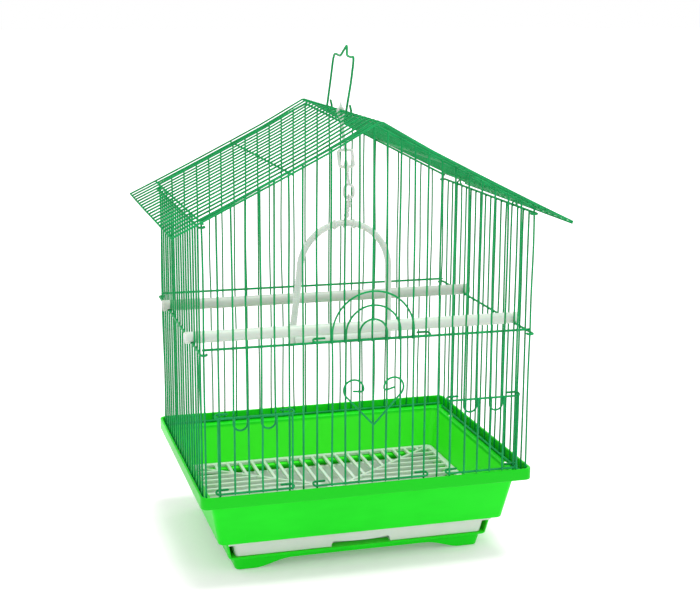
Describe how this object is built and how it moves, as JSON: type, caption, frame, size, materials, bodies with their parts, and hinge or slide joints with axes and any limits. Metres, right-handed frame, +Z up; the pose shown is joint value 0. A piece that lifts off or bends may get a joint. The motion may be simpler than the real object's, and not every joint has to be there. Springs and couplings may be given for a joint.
{
  "type": "bird cage",
  "caption": "House-shaped wire bird cage on a moulded plastic base with slide-out tray, lift-up doors, perches, a swing and a carrying handle.",
  "frame": {"origin": "middle of the rectangle between the wire walls, on the plane of the undersides of the feet", "axes": "+Z up, -Y towards the front wall with the doors and the tray, +X to the right of someone facing the front"},
  "size_m": [0.3902, 0.2938, 0.5138],
  "materials": {
    "coated_wire": "satin mid-green coating",
    "base_plastic": "bright green, semi-gloss",
    "white_plastic": "warm white, satin"
  },
  "bodies": {
    "cage": {"base_tub": "base_plastic", "floor_grille": "white_plastic", "front_panel": "coated_wire", "back_panel": "coated_wire", "left_panel": "coated_wire", "right_panel": "coated_wire", "roof_panel": "coated_wire", "front_perch": "white_plastic", "rear_perch": "white_plastic"},
    "main_door": {"main_door": "coated_wire", "heart_ornament": "coated_wire"},
    "left_feeder_door": {"left_feeder_door": "coated_wire"},
    "right_feeder_door": {"right_feeder_door": "coated_wire"},
    "tray": {"slide_tray": "white_plastic"},
    "handle": {"carry_handle": "coated_wire"},
    "swing_hanger": {"swing_hanger": "white_plastic"},
    "swing": {"swing_link": "white_plastic", "swing_stem": "white_plastic", "swing_arch": "white_plastic", "swing_bar": "white_plastic"}
  },
  "joints": [
    {"name": "main_door_lift", "type": "slide", "parent": "cage", "child": "main_door", "axis": [0, 0, 1], "range_m": [0, 0.135]},
    {"name": "left_feeder_lift", "type": "slide", "parent": "cage", "child": "left_feeder_door", "axis": [0, 0, 1], "range_m": [0, 0.06]},
    {"name": "right_feeder_lift", "type": "slide", "parent": "cage", "child": "right_feeder_door", "axis": [0, 0, 1], "range_m": [0, 0.06]},
    {"name": "tray_pull", "type": "slide", "parent": "cage", "child": "tray", "axis": [0, -1, 0], "range_m": [0, 0.235]},
    {"name": "handle_fold", "type": "hinge", "parent": "cage", "child": "handle", "pos_m": [0, -0.008, 0.44571], "axis": [0, 1, 0], "range_deg": [-116, 105]},
    {"name": "hanger_sway", "type": "hinge", "parent": "cage", "child": "swing_hanger", "pos_m": [0, -0.01525, 0.44571], "axis": [0, 1, 0], "range_deg": [-12, 12]},
    {"name": "swing_rock", "type": "hinge", "parent": "swing_hanger", "child": "swing", "pos_m": [0, -0.01525, 0.39046], "axis": [1, 0, 0], "range_deg": [-16, 20]}
  ]
}
